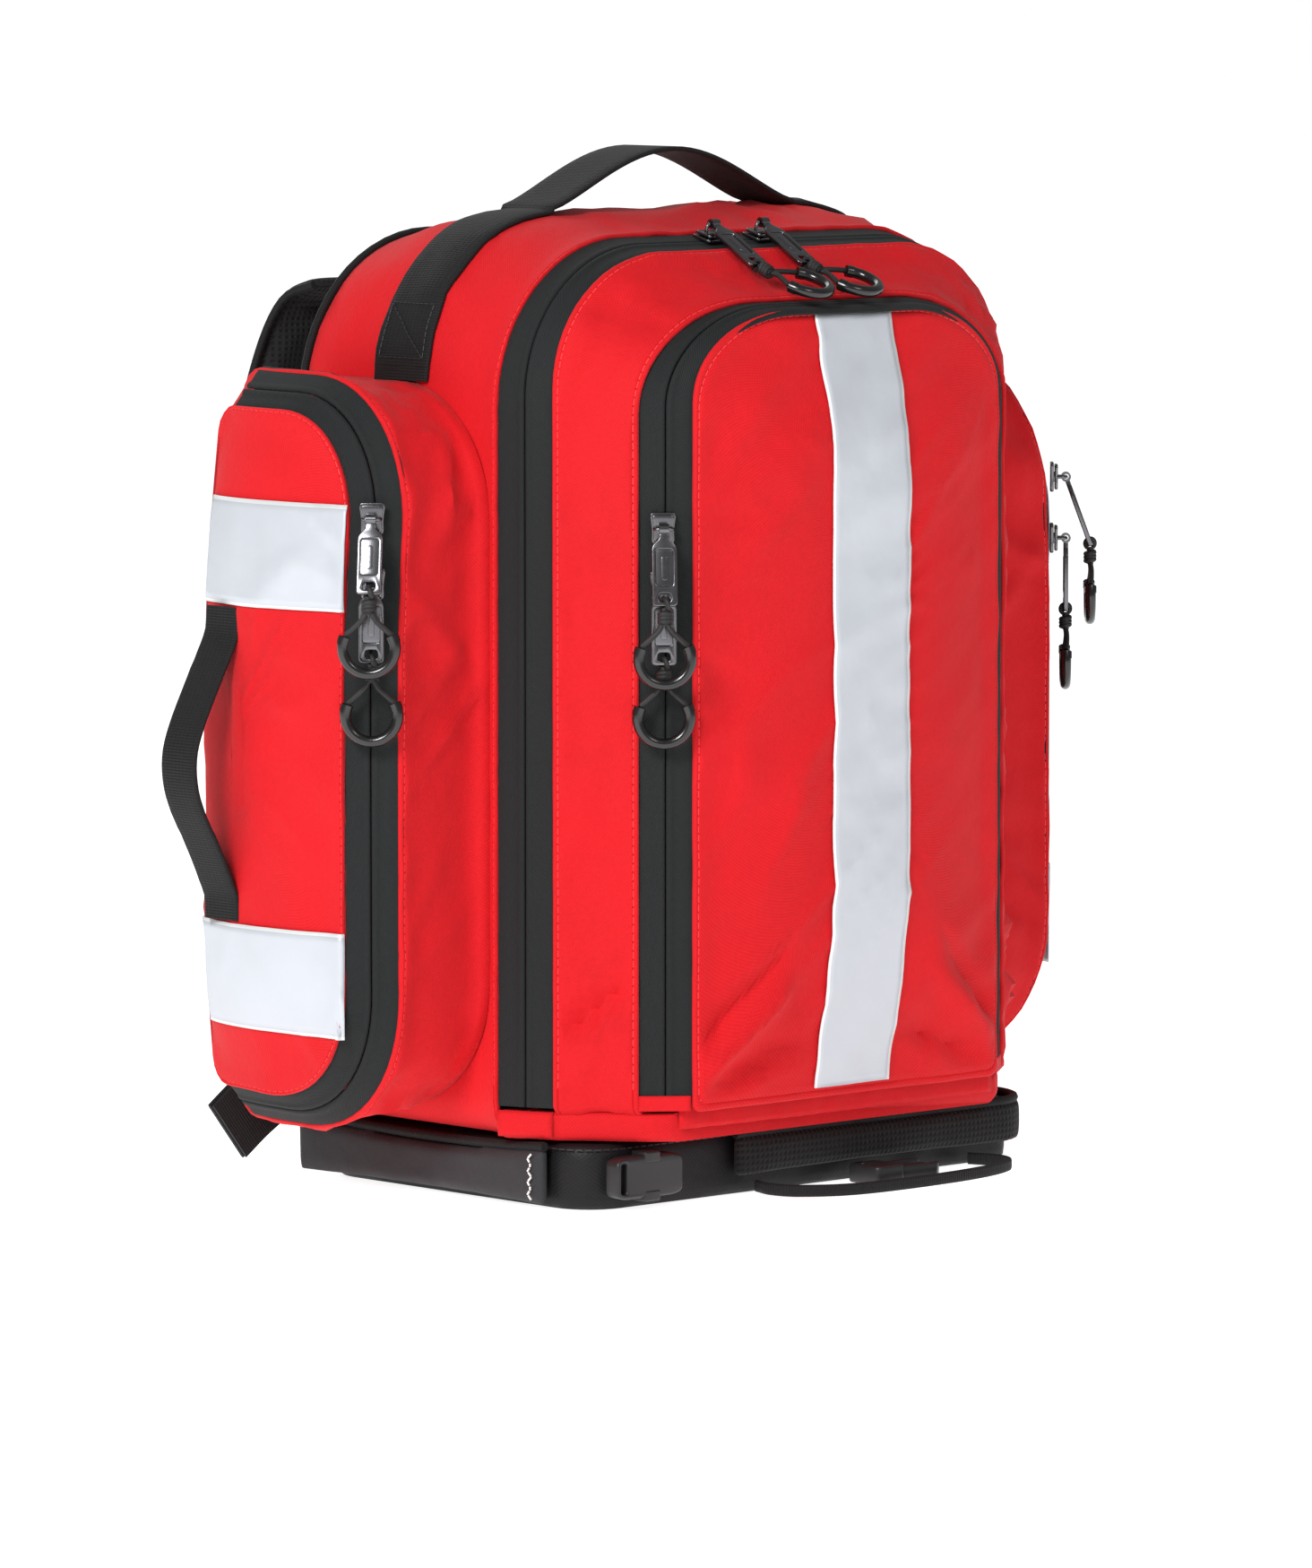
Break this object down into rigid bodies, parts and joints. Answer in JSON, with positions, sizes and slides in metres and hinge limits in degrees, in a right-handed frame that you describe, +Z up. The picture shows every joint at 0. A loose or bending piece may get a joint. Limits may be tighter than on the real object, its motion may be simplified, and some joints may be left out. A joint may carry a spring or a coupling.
{
  "type": "trauma backpack",
  "caption": "Soft-sided medical backpack with a clamshell main compartment, zipped front flap, zipped side pockets, reflective strips, carry handles, shoulder straps and hip belt.",
  "frame": {"origin": "middle of the flat underside of the base", "axes": "+X to the right seen from the front, +Y towards the wearer's back, +Z up"},
  "size_m": [0.5498, 0.3239, 0.5048],
  "materials": {
    "red_nylon": "coated woven nylon, matt with a slight sheen",
    "zip_tape": "woven polyester tape, matt",
    "reflective_tape": "silver retroreflective tape, smooth",
    "black_webbing": "ribbed woven nylon webbing",
    "gunmetal": "black nickel plated zinc, polished edges",
    "pull_cord": "glossy bent tube on braided cord",
    "boot_fabric": "coated ballistic fabric",
    "spacer_mesh": "padded spacer mesh",
    "belt_fabric": "padded dark grey nylon",
    "acetal": "moulded acetal, satin",
    "board": "stiff plastic sheet"
  },
  "bodies": {
    "pack_body": {"rear_shell": "red_nylon", "bottom_fold": "red_nylon", "base_boot": "boot_fabric", "back_panel": "spacer_mesh", "frame_sheet": "board", "carry_handle": "black_webbing", "main_tape_body": "zip_tape", "side_pocket_left": "red_nylon", "side_pocket_right": "red_nylon", "side_tape_pocket_left": "zip_tape", "side_tape_pocket_right": "zip_tape"},
    "main_lid": {"main_lid": "red_nylon", "main_tape_lid": "zip_tape", "front_tape_lid": "zip_tape"},
    "front_flap": {"front_flap": "red_nylon", "front_stripe": "reflective_tape", "front_tape_flap": "zip_tape"},
    "side_door_left": {"side_door_left": "red_nylon", "side_tape_door_left": "zip_tape", "upper_band_left": "reflective_tape", "lower_band_left": "reflective_tape", "grab_handle_left": "black_webbing"},
    "side_door_right": {"side_door_right": "red_nylon", "side_tape_door_right": "zip_tape", "upper_band_right": "reflective_tape", "lower_band_right": "reflective_tape", "grab_handle_right": "black_webbing"},
    "shoulder_strap_left": {"shoulder_strap_left": "spacer_mesh", "ladder_lock_left": "acetal"},
    "shoulder_strap_right": {"shoulder_strap_right": "spacer_mesh", "ladder_lock_right": "acetal"},
    "hip_wing_left": {"hip_wing_left": "belt_fabric", "waist_buckle_female": "acetal"},
    "hip_wing_right": {"hip_wing_right": "belt_fabric", "waist_webbing": "black_webbing", "waist_buckle_male": "acetal"},
    "main_left_slider": {"main_left_slider": "gunmetal"},
    "main_left_puller": {"main_left_puller": "gunmetal"},
    "main_left_pull": {"main_left_pull": "pull_cord"},
    "main_right_slider": {"main_right_slider": "gunmetal"},
    "main_right_puller": {"main_right_puller": "gunmetal"},
    "main_right_pull": {"main_right_pull": "pull_cord"},
    "front_upper_slider": {"front_upper_slider": "gunmetal"},
    "front_upper_puller": {"front_upper_puller": "gunmetal"},
    "front_upper_pull": {"front_upper_pull": "pull_cord"},
    "front_lower_slider": {"front_lower_slider": "gunmetal"},
    "front_lower_puller": {"front_lower_puller": "gunmetal"},
    "front_lower_pull": {"front_lower_pull": "pull_cord"},
    "left_upper_slider": {"left_upper_slider": "gunmetal"},
    "left_upper_puller": {"left_upper_puller": "gunmetal"},
    "left_upper_pull": {"left_upper_pull": "pull_cord"},
    "left_lower_slider": {"left_lower_slider": "gunmetal"},
    "left_lower_puller": {"left_lower_puller": "gunmetal"},
    "left_lower_pull": {"left_lower_pull": "pull_cord"},
    "right_upper_slider": {"right_upper_slider": "gunmetal"},
    "right_upper_puller": {"right_upper_puller": "gunmetal"},
    "right_upper_pull": {"right_upper_pull": "pull_cord"},
    "right_lower_slider": {"right_lower_slider": "gunmetal"},
    "right_lower_puller": {"right_lower_puller": "gunmetal"},
    "right_lower_pull": {"right_lower_pull": "pull_cord"}
  },
  "joints": [
    {"name": "main_lid_fold", "type": "hinge", "parent": "pack_body", "child": "main_lid", "pos_m": [0, -0.1155, 0.0475], "axis": [1, 0, 0], "range_deg": [0, 90]},
    {"name": "front_flap_fold", "type": "hinge", "parent": "main_lid", "child": "front_flap", "pos_m": [0, -0.1155, 0.0475], "axis": [1, 0, 0], "range_deg": [0, 60]},
    {"name": "side_door_left_fold", "type": "hinge", "parent": "pack_body", "child": "side_door_left", "pos_m": [-0.2283, 0.088, 0.218], "axis": [0, 0, -1], "range_deg": [0, 105]},
    {"name": "side_door_right_fold", "type": "hinge", "parent": "pack_body", "child": "side_door_right", "pos_m": [0.2283, 0.088, 0.218], "axis": [0, 0, 1], "range_deg": [0, 105]},
    {"name": "main_left_slider_run", "type": "slide", "parent": "main_lid", "child": "main_left_slider", "axis": [-1, 0, 0], "range_m": [0, 0.034]},
    {"name": "main_left_puller_swing", "type": "hinge", "parent": "main_left_slider", "child": "main_left_puller", "pos_m": [-0.033, -0.06361, 0.46923], "axis": [-1, 0, 0], "range_deg": [0, 110]},
    {"name": "main_left_pull_swing", "type": "hinge", "parent": "main_left_puller", "child": "main_left_pull", "pos_m": [-0.033, -0.09429, 0.45038], "axis": [-1, 0, 0], "range_deg": [0, 80]},
    {"name": "main_right_slider_run", "type": "slide", "parent": "main_lid", "child": "main_right_slider", "axis": [1, 0, 0], "range_m": [0, 0.066]},
    {"name": "main_right_puller_swing", "type": "hinge", "parent": "main_right_slider", "child": "main_right_puller", "pos_m": [0, -0.06361, 0.46923], "axis": [-1, 0, 0], "range_deg": [0, 110]},
    {"name": "main_right_pull_swing", "type": "hinge", "parent": "main_right_puller", "child": "main_right_pull", "pos_m": [0, -0.09429, 0.45038], "axis": [-1, 0, 0], "range_deg": [0, 80]},
    {"name": "front_upper_slider_run", "type": "slide", "parent": "front_flap", "child": "front_upper_slider", "axis": [0, 0, 1], "range_m": [0, 0.045]},
    {"name": "front_upper_puller_swing", "type": "hinge", "parent": "front_upper_slider", "child": "front_upper_puller", "pos_m": [-0.11878, -0.11999, 0.328], "axis": [-0.7731, 0.6343, 0], "range_deg": [0, 110]},
    {"name": "front_upper_pull_swing", "type": "hinge", "parent": "front_upper_puller", "child": "front_upper_pull", "pos_m": [-0.12353, -0.12578, 0.29279], "axis": [-0.7731, 0.6343, 0], "range_deg": [-4, 80]},
    {"name": "front_lower_slider_run", "type": "slide", "parent": "front_flap", "child": "front_lower_slider", "axis": [0, 0, -1], "range_m": [0, 0.15]},
    {"name": "front_lower_puller_swing", "type": "hinge", "parent": "front_lower_slider", "child": "front_lower_puller", "pos_m": [-0.11878, -0.11999, 0.3], "axis": [-0.7731, 0.6343, 0], "range_deg": [0, 5]},
    {"name": "front_lower_pull_swing", "type": "hinge", "parent": "front_lower_puller", "child": "front_lower_pull", "pos_m": [-0.11878, -0.11999, 0.264], "axis": [-0.7731, 0.6343, 0], "range_deg": [-5, 5]},
    {"name": "left_upper_slider_run", "type": "slide", "parent": "side_door_left", "child": "left_upper_slider", "axis": [0, 0, 1], "range_m": [0, 0.012]},
    {"name": "left_upper_puller_swing", "type": "hinge", "parent": "left_upper_slider", "child": "left_upper_puller", "pos_m": [-0.23411, -0.04047, 0.334], "axis": [-0.6866, 0.727, 0], "range_deg": [0, 110]},
    {"name": "left_upper_pull_swing", "type": "hinge", "parent": "left_upper_puller", "child": "left_upper_pull", "pos_m": [-0.24306, -0.04892, 0.30017], "axis": [-0.6866, 0.727, 0], "range_deg": [-10, 80]},
    {"name": "left_lower_slider_run", "type": "slide", "parent": "side_door_left", "child": "left_lower_slider", "axis": [0, 0, -1], "range_m": [0, 0.15]},
    {"name": "left_lower_puller_swing", "type": "hinge", "parent": "left_lower_slider", "child": "left_lower_puller", "pos_m": [-0.23411, -0.04047, 0.303], "axis": [-0.6866, 0.727, 0], "range_deg": [0, 10]},
    {"name": "left_lower_pull_swing", "type": "hinge", "parent": "left_lower_puller", "child": "left_lower_pull", "pos_m": [-0.23411, -0.04047, 0.267], "axis": [-0.6866, 0.727, 0], "range_deg": [-5, 5]},
    {"name": "right_upper_slider_run", "type": "slide", "parent": "side_door_right", "child": "right_upper_slider", "axis": [0, 0, 1], "range_m": [0, 0.012]},
    {"name": "right_upper_puller_swing", "type": "hinge", "parent": "right_upper_slider", "child": "right_upper_puller", "pos_m": [0.23411, -0.04047, 0.334], "axis": [-0.6866, -0.727, 0], "range_deg": [0, 110]},
    {"name": "right_upper_pull_swing", "type": "hinge", "parent": "right_upper_puller", "child": "right_upper_pull", "pos_m": [0.24306, -0.04892, 0.30017], "axis": [-0.6866, -0.727, 0], "range_deg": [-10, 80]},
    {"name": "right_lower_slider_run", "type": "slide", "parent": "side_door_right", "child": "right_lower_slider", "axis": [0, 0, -1], "range_m": [0, 0.15]},
    {"name": "right_lower_puller_swing", "type": "hinge", "parent": "right_lower_slider", "child": "right_lower_puller", "pos_m": [0.23411, -0.04047, 0.303], "axis": [-0.6866, -0.727, 0], "range_deg": [0, 10]},
    {"name": "right_lower_pull_swing", "type": "hinge", "parent": "right_lower_puller", "child": "right_lower_pull", "pos_m": [0.23411, -0.04047, 0.267], "axis": [-0.6866, -0.727, 0], "range_deg": [-5, 5]},
    {"name": "shoulder_strap_left_swing", "type": "hinge", "parent": "pack_body", "child": "shoulder_strap_left", "pos_m": [-0.088, 0.13, 0.432], "axis": [1, 0, 0], "range_deg": [0, 60]},
    {"name": "shoulder_strap_right_swing", "type": "hinge", "parent": "pack_body", "child": "shoulder_strap_right", "pos_m": [0.088, 0.13, 0.432], "axis": [1, 0, 0], "range_deg": [0, 60]},
    {"name": "hip_wing_left_swing", "type": "hinge", "parent": "pack_body", "child": "hip_wing_left", "pos_m": [-0.1535, 0.105, 0.016], "axis": [0, 0, -1], "range_deg": [0, 90]},
    {"name": "hip_wing_right_swing", "type": "hinge", "parent": "pack_body", "child": "hip_wing_right", "pos_m": [0.1535, 0.105, 0.016], "axis": [0, 0, 1], "range_deg": [0, 90]}
  ]
}
